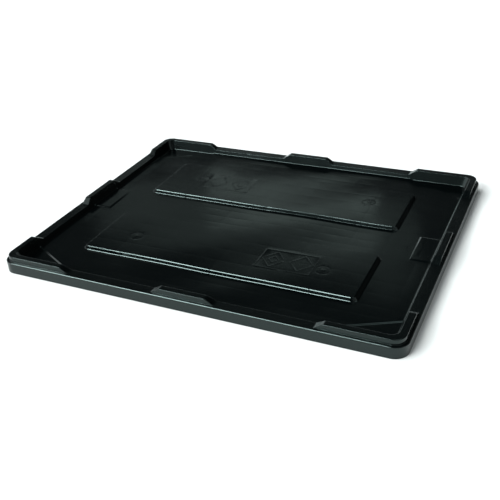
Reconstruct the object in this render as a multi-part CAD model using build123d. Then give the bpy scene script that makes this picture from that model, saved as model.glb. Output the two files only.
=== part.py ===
from build123d import *
import os

# Stacking lid for a 1200 x 1000 mm pallet box: one injection moulding, written as its moulded zones.
#
# Frame: X along the long sides, +Y to the rear, +Z up. The origin is the middle of the plan at the
# skirt's bottom edge. All sizes are in millimetres. The zones meet face to face and share no volume.

# Overall size
LENGTH, WIDTH = 1200.0, 1000.0
RIM_TOP = 34.0
LIP_TOP = 50.0
WALL = 3.5
SKIRT_RADIUS = 40.0

# Rim strip and the wall inside it, which drafts inwards down to the deck
RIM_STRIP = 34.0
WALL_DRAFT = 5.0
WELL_RADIUS_TOP, WELL_RADIUS_FOOT = 22.0, 20.0
LOCATING_WALL_FOOT = 4.0

# Stacking lips at the corners and stacking lugs at the middle of each side
LIP_INSET = 8.3
LIP_STRIP = 20.0
LIP_RADIUS = 32.0
LIP_DRAFT = 0.6
LIP_REACH_X, LIP_REACH_Y = 368.0, 340.0
LUG_REACH_X, LUG_REACH_Y = 94.0, 98.0
END_SLOPE = 25.0

# Deck, ribs and the lowered corners that drain it
DECK_TOP, DECK_THICK = 20.0, 4.0
RIB_FOOT, RIB_THICK = 8.0, 2.5
CORNER_DROP = 3.0
CORNER_REACH_X, CORNER_REACH_Y = 380.0, 366.0

# Runner guides: the two raised fields that sit between a pallet's three runners
GUIDE_TOP = 32.0
GUIDE_HALF_LENGTH = 420.0
GUIDE_NEAR, GUIDE_FAR = 89.0, 326.0
GUIDE_DRAFT, GUIDE_END_DRAFT = 4.0, 9.0
GUIDE_RADIUS = 10.0
GATE_X, GATE_Y, GATE_RADIUS, GATE_DEPTH = 300.0, 223.0, 22.0, 0.8

# Raised pads at the middle of the short sides
PAD_INNER_X, PAD_HALF_WIDTH, PAD_HEIGHT = 502.0, 68.0, 3.0

# Lines of the ribs under the deck
CROSS_RIB_PITCH, CROSS_RIBS = 104.6, 5
LONG_RIB_LINES = (0.0, 42.5, 146.0, 207.5, 269.0, 374.0, 418.0)

# Where the four sides end and the rounded corner zones start
CORNER_START_X, CORNER_START_Y = 540.0, 440.0

HALF_L, HALF_W = LENGTH / 2, WIDTH / 2
WELL_L_TOP, WELL_W_TOP = LENGTH - 2 * RIM_STRIP, WIDTH - 2 * RIM_STRIP
WELL_L, WELL_W = WELL_L_TOP - 2 * WALL_DRAFT, WELL_W_TOP - 2 * WALL_DRAFT
DECK_BOTTOM = DECK_TOP - DECK_THICK
WEB_BOTTOM = RIM_TOP - WALL
GUIDE_BASE_X = GUIDE_HALF_LENGTH + GUIDE_END_DRAFT
GUIDE_BASE_NEAR, GUIDE_BASE_FAR = GUIDE_NEAR - GUIDE_DRAFT, GUIDE_FAR + GUIDE_DRAFT
CORNERS = {"front_left": (-1, -1), "front_right": (1, -1), "rear_left": (-1, 1), "rear_right": (1, 1)}


def block(x0, x1, y0, y1, z0, z1):
    """A plain block between two corners."""
    middle = ((x0 + x1) / 2, (y0 + y1) / 2, (z0 + z1) / 2)
    return Pos(*middle) * Box(x1 - x0, y1 - y0, z1 - z0)


def ring_core(length, width, radius, z0, z1, grow=0.0, grow_radius=0.0, grow_ends=None):
    """A rounded block whose top is `grow` larger per side than its foot, `grow_ends` at its ends."""
    grow_ends = grow if grow_ends is None else grow_ends
    foot = Pos(0, 0, z0) * RectangleRounded(length, width, radius)
    top_size = (length + 2 * grow_ends, width + 2 * grow, radius + grow_radius)
    return loft([foot, Pos(0, 0, z1) * RectangleRounded(*top_size)], ruled=True)


def prism_xz(points, y0, y1):
    """An outline in X and Z carried from y0 to y1."""
    outline = Plane.XZ * make_face(Polyline(*points, close=True))
    return Pos(0, y1, 0) * extrude(outline, y1 - y0, dir=(0, -1, 0))


def prism_yz(points, x0, x1):
    """An outline in Y and Z carried from x0 to x1."""
    outline = Plane.YZ * make_face(Polyline(*points, close=True))
    return Pos(x0, 0, 0) * extrude(outline, x1 - x0, dir=(1, 0, 0))


def mirrored(solid, side_x, side_y):
    """A front-left zone moved to the corner that the two signs name."""
    if side_x > 0:
        solid = mirror(solid, about=Plane.YZ)
    if side_y > 0:
        solid = mirror(solid, about=Plane.XZ)
    return solid


def skirt_and_rim():
    """Outer wall and the flat strip on top of it, all the way round."""
    outside = ring_core(LENGTH, WIDTH, SKIRT_RADIUS, 0, RIM_TOP)
    groove = ring_core(LENGTH - 2 * WALL, WIDTH - 2 * WALL, SKIRT_RADIUS - WALL, 0, WEB_BOTTOM)
    opening = (WELL_L_TOP + 2 * WALL, WELL_W_TOP + 2 * WALL, WELL_RADIUS_TOP + WALL)
    return outside - groove - ring_core(*opening, WEB_BOTTOM, RIM_TOP)


def locating_wall():
    """Wall between the rim and the deck, carried on below the deck to locate inside the box."""
    radius_top, radius_foot = WELL_RADIUS_TOP + WALL, WELL_RADIUS_FOOT + WALL
    size = (WELL_L + 2 * WALL, WELL_W + 2 * WALL)
    sloped = ring_core(*size, radius_foot, DECK_TOP, WEB_BOTTOM, WALL_DRAFT, radius_top - radius_foot)
    straight = ring_core(*size, radius_foot, LOCATING_WALL_FOOT, DECK_TOP)
    collar = ring_core(WELL_L_TOP + 2 * WALL, WELL_W_TOP + 2 * WALL, radius_top, WEB_BOTTOM, RIM_TOP)
    gain = WELL_RADIUS_TOP - WELL_RADIUS_FOOT
    well = ring_core(WELL_L, WELL_W, WELL_RADIUS_FOOT, DECK_TOP, RIM_TOP, WALL_DRAFT, gain)
    inside = ring_core(WELL_L, WELL_W, WELL_RADIUS_FOOT, LOCATING_WALL_FOOT, DECK_TOP)
    return sloped + straight + collar - well - inside


def lip_ring(skin, foot):
    """The stacking lip as if it ran all round, shrunk by `skin` on every side but its foot."""
    outer_l, outer_w = LENGTH - 2 * (LIP_INSET + skin), WIDTH - 2 * (LIP_INSET + skin)
    top = LIP_TOP - skin
    lean = (LIP_INSET + LIP_STRIP - RIM_STRIP) * (top - foot) / (LIP_TOP - RIM_TOP)
    body = ring_core(outer_l, outer_w, LIP_RADIUS - skin, foot, top, -LIP_DRAFT)
    inner_l, inner_w = WELL_L_TOP + 2 * skin, WELL_W_TOP + 2 * skin
    return body - ring_core(inner_l, inner_w, WELL_RADIUS_TOP + skin, foot, top, -lean)


def end_outline(reach, far, skin, foot):
    """Side view of a lip leg from the outer face `far` in to `reach`, with its sloped end."""
    rise = LIP_TOP - RIM_TOP
    run = END_SLOPE / rise
    low = reach + skin - run * (RIM_TOP - foot)
    high = reach + skin + run * (LIP_TOP - RIM_TOP)
    return [(-far, foot), (-low, foot), (-high, LIP_TOP), (-far, LIP_TOP)]


def corner_legs(skin, foot):
    """The space that the two legs of the front left lip fill."""
    long_leg = prism_xz(end_outline(LIP_REACH_X, HALF_L, skin, foot), -HALF_W, -CORNER_START_Y)
    short_leg = prism_yz(end_outline(LIP_REACH_Y, HALF_W, skin, foot), -HALF_L, -CORNER_START_X)
    return long_leg + short_leg


def lug_outline(reach, skin, foot):
    """Side view of a lug with both ends sloped."""
    run = END_SLOPE / (LIP_TOP - RIM_TOP)
    low = reach - skin + run * (RIM_TOP - foot)
    high = reach - skin - run * (LIP_TOP - RIM_TOP)
    return [(-low, foot), (low, foot), (high, LIP_TOP), (-high, LIP_TOP)]


def lug_space(side, skin, foot):
    """The space that the lug on one side fills."""
    if side in ("front", "rear"):
        outline = lug_outline(LUG_REACH_X, skin, foot)
        prism = prism_xz(outline, -HALF_W, -CORNER_START_Y)
        return prism if side == "front" else mirror(prism, about=Plane.XZ)
    outline = lug_outline(LUG_REACH_Y, skin, foot)
    prism = prism_yz(outline, -HALF_L, -CORNER_START_X)
    return prism if side == "left" else mirror(prism, about=Plane.YZ)


def ribs(x0, x1, y0, y1, z0, z1):
    """The ribs of the underside grid that cross a rectangle."""
    half = RIB_THICK / 2
    bars = []
    for step in range(-CROSS_RIBS, CROSS_RIBS + 1):
        x = step * CROSS_RIB_PITCH
        if x0 + RIB_THICK < x < x1 - RIB_THICK:
            bars.append(block(x - half, x + half, y0, y1, z0, z1))
    for line in LONG_RIB_LINES:
        for y in {-line, line}:
            if y0 + RIB_THICK < y < y1 - RIB_THICK:
                bars.append(block(x0, x1, y - half, y + half, z0, z1))
    return bars


def ribbed_panel(x0, x1, y0, y1):
    """A stretch of deck with the ribs under it."""
    panel = block(x0, x1, y0, y1, DECK_BOTTOM, DECK_TOP)
    for bar in ribs(x0, x1, y0, y1, RIB_FOOT, DECK_BOTTOM):
        panel += bar
    return panel


def hand_pad():
    """Left hand pad: a raised stretch of deck against the short side, with its ribs."""
    area = (-WELL_L / 2, -PAD_INNER_X, -PAD_HALF_WIDTH, PAD_HALF_WIDTH)
    return ribbed_panel(*area) + block(*area, DECK_TOP, DECK_TOP + PAD_HEIGHT)


def corner_triangle(z0, z1):
    """The triangle of deck in the front left corner, with the well's rounded corner."""
    points = [
        (-WELL_L / 2, -CORNER_REACH_Y),
        (-WELL_L / 2, -WELL_W / 2),
        (-CORNER_REACH_X, -WELL_W / 2),
    ]
    triangle = extrude(Pos(0, 0, z0) * make_face(Polyline(*points, close=True)), z1 - z0)
    return triangle & ring_core(WELL_L, WELL_W, WELL_RADIUS_FOOT, z0, z1)


def corner_pan():
    """Lowered triangle of deck in the front left corner, with its ribs."""
    top = DECK_TOP - CORNER_DROP
    bottom = top - DECK_THICK
    pan = corner_triangle(bottom, top)
    reach = corner_triangle(RIB_FOOT, bottom)
    for bar in ribs(-WELL_L / 2, -CORNER_REACH_X, -WELL_W / 2, -CORNER_REACH_Y, RIB_FOOT, bottom):
        pan += bar & reach
    return pan


def runner_guide():
    """Front runner guide: a hollow raised field with ribs inside, open at the bottom."""
    middle_y = -(GUIDE_NEAR + GUIDE_FAR) / 2
    base_l, base_w = 2 * GUIDE_BASE_X, GUIDE_BASE_FAR - GUIDE_BASE_NEAR
    area = (-GUIDE_BASE_X, GUIDE_BASE_X, -GUIDE_BASE_FAR, -GUIDE_BASE_NEAR)
    tray = block(*area, RIB_FOOT, DECK_TOP)
    foot_size = (base_l, base_w, GUIDE_RADIUS + GUIDE_DRAFT)
    drafts = (-GUIDE_DRAFT, -GUIDE_DRAFT, -GUIDE_END_DRAFT)
    tray += Pos(0, middle_y, 0) * ring_core(*foot_size, DECK_TOP, GUIDE_TOP, *drafts)
    ceiling = GUIDE_TOP - DECK_THICK
    hollow_size = (base_l - 2 * WALL, base_w - 2 * WALL, GUIDE_RADIUS)
    end_draft = GUIDE_END_DRAFT * (ceiling - DECK_TOP) / (GUIDE_TOP - DECK_TOP)
    hollow_drafts = (-GUIDE_DRAFT, -GUIDE_DRAFT / 2, -end_draft)
    hollow = Pos(0, middle_y, 0) * ring_core(*hollow_size, RIB_FOOT, ceiling, *hollow_drafts)
    tray -= hollow
    for bar in ribs(*area, RIB_FOOT, ceiling):
        tray += bar & hollow
    for x in (-GATE_X, GATE_X):
        tray -= Pos(x, -GATE_Y, GUIDE_TOP) * Cylinder(GATE_RADIUS, 2 * GATE_DEPTH)
    return tray


def build_zones():
    """Every zone of the moulding by name."""
    zones = {}
    rim = skirt_and_rim()
    wall = locating_wall()
    lip = lip_ring(0, RIM_TOP)
    lip_hollow = lip_ring(WALL, WEB_BOTTOM)
    sides = {
        "front": block(-CORNER_START_X, CORNER_START_X, -HALF_W, -CORNER_START_Y, 0, LIP_TOP),
        "rear": block(-CORNER_START_X, CORNER_START_X, CORNER_START_Y, HALF_W, 0, LIP_TOP),
        "left": block(-HALF_L, -CORNER_START_X, -CORNER_START_Y, CORNER_START_Y, 0, LIP_TOP),
        "right": block(CORNER_START_X, HALF_L, -CORNER_START_Y, CORNER_START_Y, 0, LIP_TOP),
    }
    corner_hollow = lip_hollow & corner_legs(WALL, WEB_BOTTOM)
    corner_hollows = [mirrored(corner_hollow, *signs) for signs in CORNERS.values()]
    for side, space in sides.items():
        hollow = lip_hollow & lug_space(side, WALL, WEB_BOTTOM)
        zones["side_lug_" + side] = (lip & lug_space(side, 0, RIM_TOP)) - hollow
        strip = (rim & space) - hollow
        for corner in corner_hollows:
            strip -= corner
        zones["skirt_" + side] = strip
        zones["locating_wall_" + side] = wall & space

    corner_space = block(-HALF_L, -CORNER_START_X, -HALF_W, -CORNER_START_Y, 0, RIM_TOP)
    corner_lip = ((rim + wall) & corner_space) + (lip & corner_legs(0, RIM_TOP)) - corner_hollow
    pan = corner_pan()
    for name, signs in CORNERS.items():
        zones["corner_lip_" + name] = mirrored(corner_lip, *signs)
        zones["drain_corner_" + name] = mirrored(pan, *signs)

    front = ribbed_panel(-WELL_L / 2, WELL_L / 2, -WELL_W / 2, -GUIDE_BASE_FAR)
    front &= ring_core(WELL_L, WELL_W, WELL_RADIUS_FOOT, RIB_FOOT, DECK_TOP)
    for side_x in (-1, 1):
        front -= mirrored(corner_triangle(0, DECK_TOP), side_x, -1)
    zones["runner_seat_front"] = front
    zones["runner_seat_rear"] = mirror(front, about=Plane.XZ)
    pad_left = hand_pad()
    zones["hand_pad_left"] = pad_left
    zones["hand_pad_right"] = mirror(pad_left, about=Plane.YZ)
    middle = ribbed_panel(-WELL_L / 2, WELL_L / 2, -GUIDE_BASE_NEAR, GUIDE_BASE_NEAR)
    for x0, x1 in ((-WELL_L / 2, -PAD_INNER_X), (PAD_INNER_X, WELL_L / 2)):
        middle -= block(x0, x1, -PAD_HALF_WIDTH, PAD_HALF_WIDTH, RIB_FOOT, DECK_TOP)
    zones["runner_seat_middle"] = middle
    end = ribbed_panel(-WELL_L / 2, -GUIDE_BASE_X, -GUIDE_BASE_FAR, -GUIDE_BASE_NEAR)
    for name, signs in CORNERS.items():
        zones["end_deck_" + name] = mirrored(end, *signs)

    guide = runner_guide()
    zones["runner_guide_front"] = guide
    zones["runner_guide_rear"] = mirror(guide, about=Plane.XZ)
    return zones


def main():
    os.makedirs("parts", exist_ok=True)
    for name, zone in build_zones().items():
        export_step(zone.solids()[0], f"parts/{name}.step")


main()
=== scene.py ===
import bmesh
import bpy
import math
from mathutils import Matrix, Vector, geometry


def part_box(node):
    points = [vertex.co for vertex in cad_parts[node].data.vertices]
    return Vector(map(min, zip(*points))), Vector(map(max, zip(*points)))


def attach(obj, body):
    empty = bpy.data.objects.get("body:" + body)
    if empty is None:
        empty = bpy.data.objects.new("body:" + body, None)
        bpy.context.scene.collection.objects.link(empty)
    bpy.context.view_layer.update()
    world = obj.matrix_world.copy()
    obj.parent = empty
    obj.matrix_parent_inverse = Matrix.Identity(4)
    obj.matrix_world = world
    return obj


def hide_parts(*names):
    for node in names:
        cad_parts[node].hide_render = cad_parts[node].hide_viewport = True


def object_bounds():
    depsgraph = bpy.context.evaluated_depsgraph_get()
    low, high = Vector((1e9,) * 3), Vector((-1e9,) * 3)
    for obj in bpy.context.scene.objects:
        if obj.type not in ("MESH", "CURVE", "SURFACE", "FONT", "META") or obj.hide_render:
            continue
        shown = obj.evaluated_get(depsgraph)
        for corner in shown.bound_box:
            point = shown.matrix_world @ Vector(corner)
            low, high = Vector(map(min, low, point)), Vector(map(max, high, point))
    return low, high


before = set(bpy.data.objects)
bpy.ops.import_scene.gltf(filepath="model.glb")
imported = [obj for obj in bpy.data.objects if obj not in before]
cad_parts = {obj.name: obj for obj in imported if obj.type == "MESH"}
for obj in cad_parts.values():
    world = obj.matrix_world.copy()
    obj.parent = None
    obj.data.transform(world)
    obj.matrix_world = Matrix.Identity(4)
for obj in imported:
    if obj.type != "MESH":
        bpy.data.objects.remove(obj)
CAD_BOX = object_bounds()

# All the sizes below are in millimetres until the mesh is written in metres
MM = 0.001


def corner_mm(node, which):
    """A CAD node's lowest (0) or highest (1) corner, in millimetres."""
    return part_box(node)[which] / MM


def both_ways(lines):
    """Lines on both sides of the middle."""
    return sorted({sign * line for line in lines for sign in (-1, 1)})


# Places that the frame gives
HALF_L, HALF_W, LIP_TOP = CAD_BOX[1] / MM
RIM_TOP = corner_mm("skirt_front", 1).z
LOCATING_FOOT = corner_mm("locating_wall_front", 0).z
RIB_FOOT, DECK_TOP = corner_mm("runner_seat_rear", 0).z, corner_mm("runner_seat_rear", 1).z
WELL_X, WELL_Y = corner_mm("runner_seat_rear", 1).x, corner_mm("runner_seat_rear", 1).y
LIP_REACH = (corner_mm("corner_lip_rear_right", 0).x, corner_mm("corner_lip_rear_right", 0).y)
LUG_REACH = (corner_mm("side_lug_rear", 1).x, corner_mm("side_lug_right", 1).y)
DRAIN_X, DRAIN_Y = corner_mm("drain_corner_rear_right", 0).x, corner_mm("drain_corner_rear_right", 0).y
DRAIN_DROP = DECK_TOP - corner_mm("drain_corner_rear_right", 1).z
PAD_X, PAD_Y = corner_mm("hand_pad_right", 0).x, corner_mm("hand_pad_right", 1).y
PAD_RISE = corner_mm("hand_pad_right", 1).z - DECK_TOP
GUIDE_LOW, GUIDE_HIGH = corner_mm("runner_guide_rear", 0), corner_mm("runner_guide_rear", 1)

# Moulding sizes
WALL = 3.5
DECK_THICK = 4.0
RIM_STRIP = 34.0
LIP_INSET, LIP_STRIP, LIP_DRAFT = 8.3, 20.0, 0.6
END_SLOPE, END_ROUND = 25.0, 2.4
GUIDE_DRAFT, GUIDE_END_DRAFT, GUIDE_RADIUS = 4.0, 9.0, 10.0
CORNER_START = (540.0, 440.0)
PLAN_RADII = ((0.0, 40.0), (8.3, 32.0), (28.3, 23.0), (34.0, 22.0), (39.0, 20.0), (44.0, 15.0))
CORNER_STEPS = 12
ARC_STEPS = 4
LONGEST_EDGE = 22.0

# Lines of the ribs and of the guides' walls under the deck, which leave faint sinks on top
CROSS_PITCH = 104.6
GUIDE_WALL_LINES = (421.0, 87.0, 328.0)
CROSS_RIBS = both_ways((0.0, CROSS_PITCH, 209.2, 313.8, 421.0, 523.0))
LONG_RIBS = both_ways((0.0, 42.5, 87.0, 146.0, 207.5, 269.0, 328.0, 374.0, 418.0))
RIB_THICK, GUIDE_WALL = 2.6, 3.6
SINK_DEPTH, SINK_WIDTH = 0.10, 3.2

# Round gate marks on the guides, as (radius, height) from the outside in
GATE_X, GATE_Y = 300.0, 223.0
GATE_RINGS = (
    (22.6, 0.0), (21.6, -0.4), (20.2, -0.4), (19.2, -0.1), (6.4, -0.1), (5.4, 0.3), (3.0, 0.3), (2.2, -0.5),
)

# Plain moulded fields on the guides, each a group of raised bars inside FIELD_HALF
FIELD_X, FIELD_Y = 190.0, 212.0
FIELD_HALF = (90, 60)
BAR_HALF, BAR_EDGE, BAR_RISE = 1.1, 0.7, 0.3

# Small notches up the guides' long walls
FACE_NOTCHES = (-297.0, 0.0, 297.0)
NOTCH_DEPTH, NOTCH_FLAT, NOTCH_HALF = 0.7, 0.8, 1.8


def smooth_step(low, high, value):
    """0 below low, 1 above high, with an even S between."""
    t = min(1.0, max(0.0, (value - low) / (high - low)))
    return t * t * (3 - 2 * t)


def soft_ramp(value, low, high):
    """Straight ramp from 0 at low to 1 at high, rounded over END_ROUND at both ends."""
    def rounded(v):
        if v <= -END_ROUND:
            return 0.0
        if v >= END_ROUND:
            return v
        return (v + END_ROUND) ** 2 / (4 * END_ROUND)
    return (rounded(value - low) - rounded(value - high)) / (high - low)


def plan_radius(inset):
    """Corner radius of the outline that lies `inset` inside the skirt's face."""
    for (d0, r0), (d1, r1) in zip(PLAN_RADII, PLAN_RADII[1:]):
        if inset <= d1:
            return r0 + (r1 - r0) * max(0.0, inset - d0) / (d1 - d0)
    return PLAN_RADII[-1][1]


# ---------------------------------------------------------------- height of the top surfaces

def warp(x, y):
    """Slow unevenness that a large flat moulding has, in mm."""
    bow = 0.9 * math.sin(x / 91.0 + 0.6) * math.cos(y / 83.0 - 0.3) + 0.5 * math.sin(x / 57.0 - y / 71.0)
    pillow = 0.05 * math.cos(2 * math.pi * x / CROSS_PITCH) * math.cos(2 * math.pi * y / 61.0)
    return bow + pillow


def edge_fade(x, y):
    """1 in the open deck, 0 close to the wall round it."""
    return smooth_step(4.0, 60.0, min(WELL_X - abs(x), WELL_Y - abs(y)))


def sinks(x, y):
    """Faint valleys over the ribs."""
    depth = 0.0
    for rib in CROSS_RIBS:
        depth += math.exp(-(((x - rib) / SINK_WIDTH) ** 2))
    for rib in LONG_RIBS:
        depth += math.exp(-(((y - rib) / SINK_WIDTH) ** 2))
    return SINK_DEPTH * min(1.4, depth)


def drain_distance(x, y):
    """How far a point is past the line that cuts off the deck's corner, towards the corner."""
    run, rise = WELL_X - DRAIN_X, WELL_Y - DRAIN_Y
    length = math.hypot(run, rise)
    return ((abs(x) - DRAIN_X) * rise + (abs(y) - WELL_Y) * run) / length


def pad_distance(x, y):
    """How far a point is inside the outline of a hand pad."""
    return min(abs(x) - PAD_X, PAD_Y - abs(y))


# Half widths of the sloped steps down to a drain corner and up to a hand pad
DRAIN_STEP, PAD_STEP = 2.6, 3.5


def deck_height(x, y):
    """Top of the deck."""
    z = DECK_TOP + (warp(x, y) - sinks(x, y)) * edge_fade(x, y)
    z -= DRAIN_DROP * smooth_step(-DRAIN_STEP, DRAIN_STEP, drain_distance(x, y))
    z += PAD_RISE * smooth_step(-PAD_STEP, PAD_STEP, pad_distance(x, y))
    return z


def gate_height(distance):
    """Relief of a gate mark at a distance from its centre."""
    if distance >= GATE_RINGS[0][0]:
        return 0.0
    for (r0, h0), (r1, h1) in zip(GATE_RINGS, GATE_RINGS[1:]):
        if distance >= r1:
            return h0 + (h1 - h0) * (r0 - distance) / (r0 - r1)
    return GATE_RINGS[-1][1]


def field_bars():
    """The bars of one moulded field, in its own axes: a frame with plain diamonds in it."""
    def closed(*corners):
        return [(*a, *b) for a, b in zip(corners, corners[1:] + corners[:1])]

    def diamond(x, half_x, half_y):
        return closed((x, -half_y), (x + half_x, 0), (x, half_y), (x - half_x, 0))

    outline = closed((-82, -50), (82, -50), (82, 50), (-82, 50))
    return outline + diamond(-42, 34, 42) + diamond(-42, 14, 18) + diamond(42, 34, 42)


def to_field(x, y):
    """A point of the plan in the axes of the nearer moulded field."""
    side = -1 if y > 0 else 1
    return side * x - FIELD_X, side * y + FIELD_Y


BARS = field_bars()


def bar_distance(u, v):
    """Distance from a point to the nearest bar."""
    best = 1e9
    for x0, y0, x1, y1 in BARS:
        dx, dy = x1 - x0, y1 - y0
        t = min(1.0, max(0.0, ((u - x0) * dx + (v - y0) * dy) / (dx * dx + dy * dy)))
        best = min(best, math.hypot(u - x0 - t * dx, v - y0 - t * dy))
    return best


def guide_height(x, y):
    """Top of a runner guide."""
    z = GUIDE_HIGH.z + (warp(x, y) - sinks(x, y)) * 0.9 - 0.9
    z += gate_height(math.hypot(abs(x) - GATE_X, abs(y) - GATE_Y))
    u, v = to_field(x, y)
    if abs(u) < FIELD_HALF[0] and abs(v) < FIELD_HALF[1]:
        z += BAR_RISE * (1 - smooth_step(BAR_HALF, BAR_HALF + BAR_EDGE, bar_distance(u, v)))
    return z


# ---------------------------------------------------------------- section of the rim

def fillet(before, corner, after, radius, steps=ARC_STEPS):
    """Points of the arc that rounds a corner of the section."""
    corner = Vector(corner)
    u = (Vector(before) - corner).normalized()
    v = (Vector(after) - corner).normalized()
    half = u.angle(v) / 2
    centre = corner + (u + v).normalized() * radius / math.sin(half)
    reach = radius / math.tan(half)
    start, end = corner + u * reach - centre, corner + v * reach - centre
    sweep = start.angle_signed(end)
    turns = (Matrix.Rotation(-sweep * k / steps, 2) for k in range(steps + 1))
    return [centre + turn @ start for turn in turns]


def spread(start, end, steps=ARC_STEPS):
    """Evenly spaced points along a straight stretch, as many as a fillet has."""
    return [Vector(start).lerp(Vector(end), k / steps) for k in range(steps + 1)]


def rounded_run(corners):
    """Rounds each corner (inset, height, radius) of an open section. Its two ends only give directions."""
    points = []
    for before, corner, after in zip(corners, corners[1:], corners[2:]):
        points += fillet(before[:2], corner[:2], after[:2], corner[2])
    return points


FOOT_INSET = HALF_L - WELL_X
WEB = RIM_TOP - WALL
CEILING = LIP_TOP - WALL
SKIRT_TOP = [(1.1, RIM_TOP, 0.5), (0, RIM_TOP - 1.45, 0.5), (0, 0, 1.0), (WALL, 0, 1.0)]
DECK_SIDE = (FOOT_INSET + 20, DECK_TOP, 0)
FOOT = (FOOT_INSET, DECK_TOP, 4.0)
LOCATING_OUT = FOOT_INSET - WALL


def lip_section():
    """Section through a stacking lip, from the deck up, over, down the skirt and back underneath."""
    top_in = (LIP_INSET + LIP_STRIP, LIP_TOP, 2.2)
    top_out = (LIP_INSET + LIP_DRAFT, LIP_TOP, 2.2)
    ledge = (LIP_INSET, RIM_TOP, 1.2)
    hollow_out, hollow_in = LIP_INSET + WALL, RIM_STRIP - WALL
    return rounded_run([
        DECK_SIDE, FOOT, top_in, top_out, ledge, *SKIRT_TOP,
        (WALL, WEB, 2.0), (hollow_out, WEB, 1.0), (hollow_out + LIP_DRAFT, CEILING, 2.0),
        (LIP_INSET + LIP_STRIP - WALL, CEILING, 2.0), (hollow_in, WEB, 2.0),
        (LOCATING_OUT, DECK_TOP, 2.0), (LOCATING_OUT, LOCATING_FOOT, 1.0),
        (FOOT_INSET, LOCATING_FOOT, 1.0), (FOOT_INSET, RIB_FOOT, 0),
    ]) + [Vector((FOOT_INSET, RIB_FOOT))]


def rim_section():
    """Section through the plain rim, with as many points as lip_section and in the same order."""
    edge = (RIM_STRIP, RIM_TOP, 1.6)
    inner = rounded_run([DECK_SIDE, FOOT, edge, (0, RIM_TOP, 0)])
    strip = spread((LIP_INSET + 1.4, RIM_TOP), (LIP_INSET + 0.8, RIM_TOP))
    strip += spread((LIP_INSET + 0.3, RIM_TOP), (LIP_INSET - 0.3, RIM_TOP))
    skirt = rounded_run([(RIM_STRIP, RIM_TOP, 0), *SKIRT_TOP, (WALL, WEB, 2.0), (RIM_STRIP, WEB, 0)])
    out, back = LIP_INSET + WALL, RIM_STRIP - 2 * WALL
    under = spread((out - 0.4, WEB), (out + 0.4, WEB))
    under += spread((out + 1.0, WEB), (out + 2.0, WEB))
    under += spread((back - 3.0, WEB), (back - 2.0, WEB))
    hollow_in = RIM_STRIP - WALL
    inside = rounded_run([
        (WALL, WEB, 0), (hollow_in, WEB, 2.0), (LOCATING_OUT, DECK_TOP, 2.0),
        (LOCATING_OUT, LOCATING_FOOT, 1.0), (FOOT_INSET, LOCATING_FOOT, 1.0), (FOOT_INSET, RIB_FOOT, 0),
    ])
    return inner + strip + skirt + under + inside + [Vector((FOOT_INSET, RIB_FOOT))]


LIP, RIM = lip_section(), rim_section()
assert len(LIP) == len(RIM)
# Rings from the deck up to the rim's inner edge, which follow the deck's unevenness near it
DECK_RINGS = 2 * (ARC_STEPS + 1)
DECK_FADE = 6.0
# The ring where the underside of the rim strip starts, past which the hollow's own ends count
FIRST_UNDER = 8 * (ARC_STEPS + 1)


# ---------------------------------------------------------------- stations round the plan

def lip_share(along, axis, skin=0.0):
    """0 on the plain rim, 1 on a lip or lug, and between the two on its sloped end."""
    reach, lug = LIP_REACH[axis] + skin, LUG_REACH[axis] - skin
    at = abs(along)
    return max(soft_ramp(at, reach, reach + END_SLOPE), 1 - soft_ramp(at, lug - END_SLOPE, lug))


def filled(values, longest=LONGEST_EDGE, nearest=0.35):
    """Sorted values with near doubles dropped and long gaps divided evenly."""
    kept = []
    for value in sorted(values):
        if not kept or value - kept[-1] > nearest:
            kept.append(value)
    out = []
    for low, high in zip(kept, kept[1:]):
        parts = math.ceil((high - low) / longest)
        out += [low + (high - low) * k / parts for k in range(parts)]
    return out + [kept[-1]]


def drain_crossing(axis):
    """Where the drain step meets the foot of the wall along a side."""
    run, rise = WELL_X - DRAIN_X, WELL_Y - DRAIN_Y
    past = RIM[0].x - FOOT_INSET
    return (DRAIN_X + past * run / rise, DRAIN_Y + past * rise / run)[axis]


def side_stations(axis):
    """Places along a side, dense where the section changes."""
    ends = []
    for skin in (0.0, WALL):
        reach, lug = LIP_REACH[axis] + skin, LUG_REACH[axis] - skin
        ends += [reach, reach + END_SLOPE, lug - END_SLOPE, lug]
    places = [e + END_ROUND * k / 2 for e in ends for k in (-2, -1, 0, 1, 2)]
    places += [drain_crossing(axis) + k * DRAIN_STEP for k in (-2, -1, 0, 1, 2)]
    if axis == 1:
        places += [PAD_Y + k * PAD_STEP / 3 for k in range(-3, 4)]
    places += [0.0, CORNER_START[axis]]
    return filled([p for p in places if 0 <= p <= CORNER_START[axis]])


def stations(half_sides, steps):
    """(side, place along it, corner angle or None) all the way round, starting at the front left."""
    out = []
    for side in range(4):
        half = half_sides[side % 2]
        along = [-a for a in reversed(half)] + half[1:]
        out += [(side, a, None) for a in along]
        out += [(side, None, 90.0 * k / steps) for k in range(steps + 1)]
    return out


SIDE_SIGNS = ((1, -1), (1, 1), (-1, 1), (-1, -1))


def outline_point(station, x, y, radius):
    """The point at a station on a rounded rectangle with half sizes x and y."""
    side, along, angle = station
    if angle is None:
        return ((along, -y), (x, along), (-along, y), (-x, -along))[side]
    sign_x, sign_y = SIDE_SIGNS[side]
    turn = math.radians(angle + 90 * (side - 1))
    centre = (sign_x * (x - radius), sign_y * (y - radius))
    return centre[0] + radius * math.cos(turn), centre[1] + radius * math.sin(turn)


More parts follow.
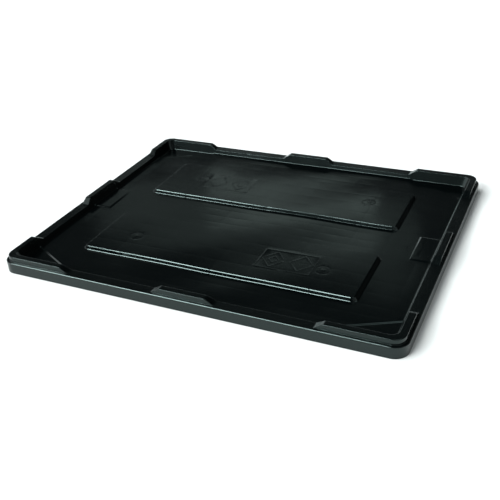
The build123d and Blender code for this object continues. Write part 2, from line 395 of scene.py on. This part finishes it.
def rim_rings():
    """Rings of points, one for each point of the section, each all the way round."""
    places = stations((side_stations(0), side_stations(1)), CORNER_STEPS)
    shares = []
    for side, along, angle in places:
        whole = angle is not None
        top = 1.0 if whole else lip_share(along, side % 2)
        under = 1.0 if whole else lip_share(along, side % 2, WALL)
        shares.append((top, under))
    rings = []
    for index, (rim, lip) in enumerate(zip(RIM, LIP)):
        ring = []
        for place, share in zip(places, shares):
            inset, height = rim.lerp(lip, share[index >= FIRST_UNDER])
            x, y = outline_point(place, HALF_L - inset, HALF_W - inset, plan_radius(inset))
            if index < DECK_RINGS:
                near_deck = 1 - smooth_step(DECK_TOP, DECK_TOP + DECK_FADE, height)
                height += (deck_height(x, y) - DECK_TOP) * near_deck
            ring.append((x, y, height))
        rings.append(ring)
    return rings


# ---------------------------------------------------------------- mesh building

class Skin:
    """Collects faces with shared points, and writes them as one closed mesh."""

    def __init__(self):
        self.points, self.faces = [], []

    def add(self, points):
        first = len(self.points)
        self.points += [Vector(p) * MM for p in points]
        return list(range(first, first + len(points)))

    def strip(self, ring_a, ring_b):
        """Quads between two closed rings of point numbers."""
        count = len(ring_a)
        for k in range(count):
            n = (k + 1) % count
            self.faces.append((ring_a[k], ring_a[n], ring_b[n], ring_b[k]))

    def sweep(self, rings):
        """Closed rings of points joined in order. Returns their point numbers."""
        numbers = [self.add(ring) for ring in rings]
        for ring_a, ring_b in zip(numbers, numbers[1:]):
            self.strip(ring_a, ring_b)
        return numbers

    def fill(self, loops, holes, extra, height, upward, lines=()):
        """Triangles between closed plan loops, through extra points, at height(x, y)."""
        flat, edges = [], []
        for loop in [*loops, *holes]:
            first = len(flat)
            flat += [Vector(p[:2]) for p in loop]
            edges += [(first + k, first + (k + 1) % len(loop)) for k in range(len(loop))]
        fixed = len(flat)
        for start, end in lines:
            edges.append((len(flat), len(flat) + 1))
            flat += [Vector(start), Vector(end)]
        flat += [Vector(p) for p in extra]
        out, _, faces, origins, _, _ = geometry.delaunay_2d_cdt(flat, edges, [], 0, 1e-4)
        given = {}
        whole = [p for loop in [*loops, *holes] for p in loop]
        for number, sources in enumerate(origins):
            known = [s for s in sources if s < fixed]
            if known:
                given[number] = whole[known[0]]
        outlines = [[Vector(p[:2]) for p in loop] for loop in loops]
        gaps = [[Vector(p[:2]) for p in loop] for loop in holes]
        points = [given.get(n, (p.x, p.y, height(p.x, p.y))) for n, p in enumerate(out)]
        numbers = self.add(points)
        for face in faces:
            middle = sum((out[n] for n in face), Vector((0, 0))) / len(face)
            if not all(inside(middle, loop) for loop in outlines) or any(inside(middle, g) for g in gaps):
                continue
            face = face if upward else reversed(face)
            self.faces.append(tuple(numbers[n] for n in face))

    def write(self, name):
        mesh = bpy.data.meshes.new(name)
        mesh.from_pydata(self.points, [], self.faces)
        bm = bmesh.new()
        bm.from_mesh(mesh)
        bmesh.ops.remove_doubles(bm, verts=bm.verts, dist=4e-6)
        bmesh.ops.dissolve_degenerate(bm, edges=bm.edges, dist=1e-7)
        wires = [e for e in bm.edges if not e.link_faces]
        bmesh.ops.delete(bm, geom=wires, context="EDGES")
        loose = [v for v in bm.verts if not v.link_faces]
        bmesh.ops.delete(bm, geom=loose, context="VERTS")
        bmesh.ops.recalc_face_normals(bm, faces=bm.faces)
        bm.to_mesh(mesh)
        bm.free()
        return mesh


def inside(point, loop):
    """Whether a plan point is inside a closed loop."""
    x, y = point
    found = False
    last = loop[-1]
    for here in loop:
        if (here[1] > y) != (last[1] > y):
            if x < (last[0] - here[0]) * (y - here[1]) / (last[1] - here[1]) + here[0]:
                found = not found
        last = here
    return found


# ---------------------------------------------------------------- parts of the moulding

def grid(ribs, reach, spacing=20.0):
    """Places across the deck: five at each rib's sink, and evenly between them."""
    places = [r + k * SINK_WIDTH * 0.75 for r in ribs for k in (-2, -1, 0, 1, 2)]
    return filled([p for p in places if abs(p) < reach] + [-reach, reach], spacing)


# How far free points keep off the wall's foot, its rounded corners, the guides and the lines of the mesh
WALL_GAP, CORNER_GAP, GUIDE_GAP, TOP_GAP, LINE_GAP = 6, 18, (5, 3), 5, 0.8


def deck_lines():
    """Edges that the deck's mesh follows: the drain steps and the pads' outlines."""
    margin = RIM[0].x - FOOT_INSET + 1.7
    x_end, y_end = WELL_X - margin, WELL_Y - margin
    run, rise = WELL_X - DRAIN_X, WELL_Y - DRAIN_Y
    length = math.hypot(run, rise)
    lines = []
    for offset in (k * DRAIN_STEP / 3 for k in range(-3, 4)):
        x_start = DRAIN_X + (offset * length - (y_end - WELL_Y) * run) / rise
        y_start = WELL_Y + (offset * length - (x_end - DRAIN_X) * rise) / run
        for sx, sy in SIDE_SIGNS:
            lines.append(((sx * x_start, sy * y_end), (sx * x_end, sy * y_start)))
    for offset in (k * PAD_STEP / 3 for k in range(-3, 4)):
        for sx in (-1, 1):
            x, y = sx * (PAD_X + offset), PAD_Y - offset
            lines += [((x, -y), (x, y)), ((x, y), (sx * x_end, y)), ((x, -y), (sx * x_end, -y))]
    return lines


def clear_of_steps(x, y):
    """Whether a free deck point keeps off the lines that the mesh follows."""
    near_drain = abs(drain_distance(x, y)) < DRAIN_STEP + LINE_GAP
    near_pad = abs(pad_distance(x, y)) < PAD_STEP + LINE_GAP
    return not near_drain and not near_pad


def add_deck(skin, foot_ring, guide_feet):
    """Deck between the rim and the guides."""
    x_reach, y_reach = WELL_X - WALL_GAP, WELL_Y - WALL_GAP
    end, near, far = GUIDE_HIGH.x + GUIDE_GAP[0], GUIDE_LOW.y - GUIDE_GAP[1], GUIDE_HIGH.y + GUIDE_GAP[1]
    points = []
    for x in grid(CROSS_RIBS, x_reach):
        for y in grid(LONG_RIBS, y_reach):
            on_guide = abs(x) < end and near < abs(y) < far
            past_x, past_y = abs(x) - x_reach + CORNER_GAP, abs(y) - y_reach + CORNER_GAP
            in_corner = math.hypot(max(0, past_x), max(0, past_y)) > CORNER_GAP
            if not on_guide and not in_corner and clear_of_steps(x, y):
                points.append((x, y))
    skin.fill([foot_ring], guide_feet, points, deck_height, True, deck_lines())


GUIDE_X = GUIDE_HIGH.x - GUIDE_END_DRAFT
GUIDE_Y = (GUIDE_HIGH.y - GUIDE_LOW.y) / 2 - GUIDE_DRAFT
GUIDE_MIDDLE = (GUIDE_HIGH.y + GUIDE_LOW.y) / 2
# Width and height of the small bevels at the foot and the top edge of a guide's wall, and their rounding
FOOT_BEVEL, EDGE_BEVEL = (0.9, 1.4), (1.15, 1.8)
FOOT_ROUND, EDGE_ROUND = 0.5, 0.6


def guide_rings(side):
    """Rings up the wall of a guide, from the deck to its top. side is -1 in front and 1 at the rear."""
    slope = GUIDE_DRAFT / (GUIDE_HIGH.z - DECK_TOP)
    foot, edge = GUIDE_DRAFT - slope * FOOT_BEVEL[1], slope * EDGE_BEVEL[1]
    section = rounded_run([
        (GUIDE_DRAFT + 20, DECK_TOP, 0),
        (foot + FOOT_BEVEL[0], DECK_TOP, FOOT_ROUND), (foot, DECK_TOP + FOOT_BEVEL[1], FOOT_ROUND),
        (edge, GUIDE_HIGH.z - EDGE_BEVEL[1], EDGE_ROUND), (edge - EDGE_BEVEL[0], GUIDE_HIGH.z, EDGE_ROUND),
        (-20, GUIDE_HIGH.z, 0),
    ])
    notches = [n + k for n in FACE_NOTCHES for k in (-NOTCH_HALF, -1.0, 0.0, 1.0, NOTCH_HALF)]
    long_half = filled([abs(n) for n in notches if n >= 0] + [0.0, GUIDE_X - GUIDE_RADIUS])
    short_half = filled([0.0, GUIDE_Y - GUIDE_RADIUS])
    places = stations((long_half, short_half), 6)
    rings = []
    for index, (grow, height) in enumerate(section):
        ring = []
        for place in places:
            on_long = place[0] % 2 == 0 and place[1] is not None
            out = grow
            if on_long and 0 < index < len(section) - 1:
                away = min(abs(place[1] - n) for n in FACE_NOTCHES)
                out -= NOTCH_DEPTH * (1 - smooth_step(NOTCH_FLAT, NOTCH_HALF, away))
            base = Vector(outline_point(place, GUIDE_X, GUIDE_Y, GUIDE_RADIUS))
            outward = Vector(outline_point(place, GUIDE_X + 1, GUIDE_Y + 1, GUIDE_RADIUS + 1)) - base
            x = base.x + outward.x * grow * GUIDE_END_DRAFT / GUIDE_DRAFT
            y = base.y + outward.y * out + side * GUIDE_MIDDLE
            low, high = deck_height(x, y) - DECK_TOP, guide_height(x, y) - GUIDE_HIGH.z
            share = (height - DECK_TOP) / (GUIDE_HIGH.z - DECK_TOP)
            ring.append((x, y, height + low + (high - low) * share))
        rings.append(ring)
    return rings


def bar_outlines():
    """Edges that a moulded field's relief follows, in the field's own axes."""
    lines = []
    for x0, y0, x1, y1 in BARS:
        along = Vector((x1 - x0, y1 - y0)).normalized()
        across = Vector((-along.y, along.x))
        for half in (BAR_HALF, BAR_HALF + BAR_EDGE):
            start, end = Vector((x0, y0)) - along * half, Vector((x1, y1)) + along * half
            box = [start + across * half, end + across * half, end - across * half, start - across * half]
            lines += list(zip(box, box[1:] + box[:1]))
    return lines


def gate_outlines(x, y, steps=40):
    """Circles that a gate mark's relief follows."""
    lines = []
    for radius, _ in GATE_RINGS:
        turns = [2 * math.pi * k / steps for k in range(steps)]
        ring = [(x + radius * math.cos(t), y + radius * math.sin(t)) for t in turns]
        lines += list(zip(ring, ring[1:] + ring[:1]))
    return lines


def add_guide(skin, side):
    """One runner guide's wall and top. Returns the foot of its wall."""
    rings = guide_rings(side)
    skin.sweep(rings)
    lines = []
    for start, end in bar_outlines():
        ends = [(-side * (p[0] + FIELD_X), -side * (p[1] - FIELD_Y)) for p in (start, end)]
        lines.append(tuple(ends))
    for x in (-GATE_X, GATE_X):
        lines += gate_outlines(x, side * GATE_Y)
    points = []
    for x in grid(CROSS_RIBS, GUIDE_X - TOP_GAP):
        for y in grid(LONG_RIBS, GUIDE_MIDDLE + GUIDE_Y - TOP_GAP):
            if y * side > GUIDE_MIDDLE - GUIDE_Y + TOP_GAP:
                points.append((x, y))
    skin.fill([rings[-1]], [], points, guide_height, True, lines)
    return rings[0]


def pocket_outline(x0, x1, y0, y1, shrink, radii):
    """Plan outline of a pocket between ribs, with its own radius at each corner."""
    x0, x1, y0, y1 = x0 + shrink, x1 - shrink, y0 + shrink, y1 - shrink
    out = []
    for k, (x, y) in enumerate(((x1, y0), (x1, y1), (x0, y1), (x0, y0))):
        radius = max(0.8, radii[k] - shrink)
        sx, sy = SIDE_SIGNS[k]
        for step in range(ARC_STEPS + 1):
            turn = math.radians(90 * (k - 1) + 90 * step / ARC_STEPS)
            out.append((x - sx * radius + radius * math.cos(turn), y - sy * radius + radius * math.sin(turn)))
    return out


def spans(ribs, reach):
    """Gaps between neighbouring ribs, out to the wall."""
    edges = [-reach]
    for rib in ribs:
        thick = GUIDE_WALL if abs(rib) in GUIDE_WALL_LINES else RIB_THICK
        edges += [rib - thick / 2, rib + thick / 2]
    edges.append(reach)
    return list(zip(edges[::2], edges[1::2]))


def pocket_floor(x, y, far_x, far_y):
    """Height of the deck's underside over a pocket."""
    if abs(x) < GUIDE_X and GUIDE_LOW.y < abs(y) < GUIDE_HIGH.y:
        return GUIDE_HIGH.z - DECK_THICK
    if drain_distance(far_x, far_y) > 0:
        return DECK_TOP - DRAIN_DROP - DECK_THICK
    return DECK_TOP - DECK_THICK


# Corner radius of a pocket between ribs, the ledge round them all, and each pocket's draft
POCKET_RADIUS, POCKET_LEDGE, POCKET_DRAFT = 2.2, 0.8, 0.02


def add_underside(skin, wall_ring):
    """Ribs and the pockets between them, inside the locating wall."""
    openings = []
    for x0, x1 in spans(CROSS_RIBS, WELL_X - POCKET_LEDGE):
        for y0, y1 in spans(LONG_RIBS, WELL_Y - POCKET_LEDGE):
            corner_x, corner_y = max(abs(x0), abs(x1)), max(abs(y0), abs(y1))
            outermost = corner_x > WELL_X - 2 and corner_y > WELL_Y - 2
            radii = [POCKET_RADIUS] * 4
            if outermost:
                corner = (1 if x0 > 0 else -1, 1 if y0 > 0 else -1)
                radii[SIDE_SIGNS.index(corner)] = plan_radius(FOOT_INSET)
            floor = pocket_floor((x0 + x1) / 2, (y0 + y1) / 2, corner_x, corner_y)
            base = 0.35 + POCKET_DRAFT * (floor - 2.0 - RIB_FOOT)
            levels = [(0.0, RIB_FOOT), (0.35, RIB_FOOT + 0.4), (base, floor - 2.0)]
            levels += [(base + 0.45, floor - 0.7), (base + 1.3, floor - 0.1), (base + 2.2, floor)]
            rings = []
            for shrink, z in levels:
                outline = pocket_outline(x0, x1, y0, y1, shrink, radii)
                rings.append([(x, y, z) for x, y in outline])
            numbers = skin.sweep(rings)
            skin.faces.append(tuple(numbers[-1]))
            openings.append(rings[0])
    skin.fill([wall_ring], openings, [], lambda x, y: RIB_FOOT, False)


def build_lid():
    """The whole moulding as one closed mesh."""
    skin = Skin()
    rings = rim_rings()
    skin.sweep(rings)
    feet = [add_guide(skin, side) for side in (-1, 1)]
    add_deck(skin, rings[0], feet)
    add_underside(skin, rings[-1])
    return skin.write("lid_moulding")


SIDES = ("front", "rear", "left", "right")
CORNERS = [f"{end}_{side}" for end in SIDES[:2] for side in SIDES[2:]]
NODES = [f"{zone}_{side}" for zone in ("skirt", "side_lug", "locating_wall") for side in SIDES]
NODES += [f"{zone}_{corner}" for zone in ("corner_lip", "drain_corner", "end_deck") for corner in CORNERS]
NODES += ["runner_guide_front", "runner_guide_rear", "hand_pad_left", "hand_pad_right"]
NODES += ["runner_seat_front", "runner_seat_middle", "runner_seat_rear"]


def finish_mesh(mesh):
    """Smooth shading that keeps flat faces flat and hard edges hard."""
    lid = bpy.data.objects.new("lid_moulding", mesh)
    bpy.context.collection.objects.link(lid)
    mesh.shade_smooth()
    mesh.set_sharp_from_angle(angle=math.radians(42))
    shading = lid.modifiers.new("even_shading", "WEIGHTED_NORMAL")
    shading.keep_sharp = True
    return lid


# ---------------------------------------------------------------- materials

class Nodes:
    """A material's node tree, with short ways to add and join its nodes."""

    def __init__(self, name):
        self.material = bpy.data.materials.new(name)
        self.material.use_nodes = True
        self.tree = self.material.node_tree
        self.shader = self.tree.nodes["Principled BSDF"]

    def new(self, kind, inputs=(), **settings):
        """A node with its settings, and with each input either a value or another node's output."""
        node = self.tree.nodes.new(kind)
        for key, value in settings.items():
            setattr(node, key, value)
        for key, value in dict(inputs).items():
            self.set(node, key, value)
        return node

    def set(self, node, key, value):
        if isinstance(value, bpy.types.NodeSocket):
            self.tree.links.new(value, node.inputs[key])
        else:
            node.inputs[key].default_value = value

    def maths(self, operation, *values):
        """Result of a sum on values or outputs."""
        return self.new("ShaderNodeMath", enumerate(values), operation=operation).outputs[0]

    def place(self, scale):
        """Object coordinates, stretched by a scale for each axis."""
        where = self.new("ShaderNodeTexCoord").outputs["Object"]
        return self.new("ShaderNodeMapping", {"Vector": where, "Scale": scale}).outputs["Vector"]

    def noise(self, scale, detail, roughness=0.5, stretch=(1, 1, 1)):
        inputs = {"Vector": self.place(stretch), "Scale": scale, "Detail": detail, "Roughness": roughness}
        return self.new("ShaderNodeTexNoise", inputs).outputs["Fac"]

    def ramp(self, value, low, high, start, end):
        """A value taken from low..high to start..end, held at the ends."""
        inputs = {"Value": value, "From Min": low, "From Max": high, "To Min": start, "To Max": end}
        return self.new("ShaderNodeMapRange", inputs).outputs["Result"]

    def mix(self, share, first, second):
        node = self.new("ShaderNodeMix", {0: share, 6: first, 7: second}, data_type="RGBA")
        return node.outputs[2]

    def bump(self, height, distance, before=None):
        inputs = {"Height": height, "Distance": distance, "Strength": 1.0}
        if before:
            inputs["Normal"] = before
        return self.new("ShaderNodeBump", inputs).outputs["Normal"]


def plastic():
    """Black moulded plastic: a smooth deck, a grained rim, slow flow marks and faint handling scuffs."""
    mat = Nodes("lid_plastic")
    split = mat.new("ShaderNodeSeparateXYZ", {"Vector": mat.place((1, 1, 1))})
    beyond = []
    for axis, edge in (("X", WELL_X), ("Y", WELL_Y)):
        away = mat.maths("ABSOLUTE", split.outputs[axis])
        beyond.append(mat.ramp(away, (edge - 3) * MM, (edge + 1) * MM, 0.0, 1.0))
    rim = mat.maths("MAXIMUM", *beyond)
    dark, worn = (0.0006, 0.0011, 0.0013, 1), (0.018, 0.023, 0.023, 1)
    blotch = mat.ramp(mat.noise(5.0, 4.0, 0.6), 0.35, 0.7, 0.0, 1.0)
    scuff_x = mat.ramp(mat.noise(34.0, 5.0, 0.7, (1, 14, 4)), 0.66, 0.74, 0.0, 1.0)
    scuff_y = mat.ramp(mat.noise(31.0, 5.0, 0.7, (12, 1, 4)), 0.67, 0.75, 0.0, 1.0)
    faint = mat.maths("MULTIPLY", mat.maths("MAXIMUM", scuff_x, scuff_y), 0.35)
    mat.set(mat.shader, "Base Color", mat.mix(faint, dark, worn))
    smooth = mat.ramp(blotch, 0.0, 1.0, 0.12, 0.18)
    deck = mat.maths("MULTIPLY_ADD", faint, 0.30, smooth)
    mat.set(mat.shader, "Roughness", mat.maths("MULTIPLY_ADD", rim, 0.05, deck))
    mat.shader.inputs["Specular Tint"].default_value = (0.78, 1.0, 0.97, 1)
    mat.shader.inputs["IOR"].default_value = 1.46
    flow = mat.bump(mat.noise(7.0, 1.0, 0.4, (1.0, 1.4, 1.0)), 0.0001)
    coarse = mat.maths("MULTIPLY", mat.noise(420.0, 3.0, 0.65), rim)
    streaks = mat.maths("MULTIPLY", mat.noise(70.0, 2.0, 0.6, (1, 1, 0.3)), rim)
    grain = mat.bump(coarse, 0.00007, mat.bump(streaks, 0.00025, flow))
    mat.set(mat.shader, "Normal", mat.bump(mat.noise(1500.0, 2.0), 0.00001, grain))
    return mat.material


def paper():
    """Plain white studio floor."""
    mat = Nodes("studio_floor")
    mat.shader.inputs["Base Color"].default_value = (0.80, 0.80, 0.80, 1)
    mat.shader.inputs["Roughness"].default_value = 0.9
    mat.shader.inputs["Specular IOR Level"].default_value = 0.1
    return mat.material


# ---------------------------------------------------------------- the object

lid = finish_mesh(build_lid())
lid.data.materials.append(plastic())
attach(lid, "root")
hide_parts(*NODES)

# ---------------------------------------------------------------- stage, light and camera

FLOOR_REACH = 30.0
floor_mesh = bpy.data.meshes.new("studio_floor")
floor_corners = [(sx * FLOOR_REACH, sy * FLOOR_REACH, 0.0) for sx, sy in SIDE_SIGNS]
floor_mesh.from_pydata(floor_corners, [], [(0, 1, 2, 3)])
floor_mesh.materials.append(paper())
floor = bpy.data.objects.new("studio_floor", floor_mesh)
bpy.context.collection.objects.link(floor)


WHITE = (1.0, 1.0, 1.0)
GREENISH = (0.84, 1.0, 0.95)
MIDDLE = (0, 0, 0)


def lamp(name, kind, energy, place, target, mirrored=True, **settings):
    """A light that points at a target. If it isn't mirrored, it doesn't show in glossy surfaces."""
    data = bpy.data.lights.new(name, kind)
    data.energy = energy
    for key, value in settings.items():
        setattr(data, key, value)
    obj = bpy.data.objects.new(name, data)
    bpy.context.collection.objects.link(obj)
    obj.visible_glossy = mirrored
    obj.location = place
    obj.rotation_euler = (Vector(target) - Vector(place)).to_track_quat("-Z", "Y").to_euler()


def sun(name, energy, place, degrees, color=WHITE, mirrored=True):
    """A light from far away, with its apparent width in degrees."""
    lamp(name, "SUN", energy, place, MIDDLE, mirrored, angle=math.radians(degrees), color=color)


def softbox(name, energy, place, target, size, color=WHITE):
    """A rectangular light with its width and height."""
    lamp(name, "AREA", energy, place, target, shape="RECTANGLE", size=size[0], size_y=size[1], color=color)


def studio_world():
    """
    Surroundings of a studio as the lid mirrors them: a pale band round the horizon, brightest at the
    left, and dark above. Past the floor's edge the view itself is white.
    """
    world = bpy.data.worlds.new("studio")
    world.use_nodes = True
    tree = world.node_tree
    where = tree.nodes.new("ShaderNodeTexCoord")
    split = tree.nodes.new("ShaderNodeSeparateXYZ")
    tree.links.new(where.outputs["Generated"], split.inputs["Vector"])

    def ramp(axis, stops, tint):
        node = tree.nodes.new("ShaderNodeValToRGB")
        tree.links.new(split.outputs[axis], node.inputs["Fac"])
        node.color_ramp.elements[1].position = 1.0
        for end, level in ((0, stops[0][1]), (1, stops[-1][1])):
            node.color_ramp.elements[end].color = (*(level * t for t in tint), 1)
        for place, level in stops[1:-1]:
            node.color_ramp.elements.new(place).color = (*(level * t for t in tint), 1)
        return node.outputs["Color"]

    height = ramp("Z", ((0.0, 1.0), (0.17, 1.0), (0.34, 0.035), (1.0, 0.035)), (0.88, 1.0, 1.0))
    side = ramp("X", ((0.0, 1.0), (0.05, 1.0), (0.42, 0.03), (1.0, 0.03)), WHITE)
    front = ramp("Y", ((0.0, 0.25), (0.02, 0.25), (0.35, 1.0), (1.0, 1.0)), WHITE)

    def times(first, second):
        node = tree.nodes.new("ShaderNodeMix")
        node.data_type, node.blend_type = "RGBA", "MULTIPLY"
        node.inputs[0].default_value = 1.0
        tree.links.new(first, node.inputs[6])
        tree.links.new(second, node.inputs[7])
        return node.outputs[2]

    seen = tree.nodes.new("ShaderNodeMix")
    seen.data_type = "RGBA"
    tree.links.new(tree.nodes.new("ShaderNodeLightPath").outputs["Is Camera Ray"], seen.inputs[0])
    tree.links.new(times(times(height, side), front), seen.inputs[6])
    seen.inputs[7].default_value = (*WHITE, 1)
    tree.links.new(seen.outputs[2], tree.nodes["Background"].inputs["Color"])
    return world


bpy.context.scene.world = studio_world()
bpy.context.scene.view_settings.view_transform = "Standard"

# The suns at the left make the shadow, and those in front make the bright edges
sun("main_key", 2.8, (-5.8, -1.6, 8.6), 60, (0.94, 1.0, 0.99), mirrored=False)
sun("side_key", 1.2, (-8.0, -2.6, 4.8), 62)
for azimuth in (18.0, 31.5, 45.0):
    turn = math.radians(azimuth)
    sun("front_key", 1.03, (-8.5 * math.sin(turn), -8.5 * math.cos(turn), 5.3), 12, (0.93, 1.0, 1.0))
# The softboxes show as soft patches on the deck and the rim
softbox("rear_softbox", 0.6, (-1.1, 3.0, 1.53), (-1.1, 0, 0.8), (1.4, 0.3), GREENISH)
softbox("rear_wash", 0.9, (-1.58, 3.1, 1.87), (-1.58, 0, 1.1), (2.9, 0.6), GREENISH)
softbox("top_softbox", 13.0, (1.35, -0.15, 2.7), MIDDLE, (1.8, 1.8), (0.9, 1.0, 1.0))
softbox("right_softbox", 4.4, (3.2, -0.2, 1.3), (0, -0.2, 0), (3.2, 0.9))
softbox("front_right_softbox", 3.4, (1.9, -2.9, 1.3), MIDDLE, (2.4, 0.9))

# The camera looks down on the lid from the front and a little from the right
AZIMUTH, ELEVATION, ROLL = (math.radians(degrees) for degrees in (27.23, 30.19, -3.79))
CAMERA_PLACE = (0.8833, -1.9125, 1.1201)
SENSOR_WIDTH, LENS = 36.0, 54.29
SHIFT = (0.0407, 0.0156)
flat = math.cos(ELEVATION)
back = Vector((math.sin(AZIMUTH) * flat, -math.cos(AZIMUTH) * flat, math.sin(ELEVATION)))
level = Vector((math.cos(AZIMUTH), math.sin(AZIMUTH), 0.0))
right = level * math.cos(ROLL) + back.cross(level) * math.sin(ROLL)
camera_data = bpy.data.cameras.new("camera")
camera_data.sensor_width, camera_data.lens = SENSOR_WIDTH, LENS
camera_data.shift_x, camera_data.shift_y = SHIFT
camera = bpy.data.objects.new("camera", camera_data)
bpy.context.collection.objects.link(camera)
turned = Matrix((right, back.cross(right), back)).transposed()
camera.matrix_world = Matrix.Translation(CAMERA_PLACE) @ turned.to_4x4()
bpy.context.scene.camera = camera
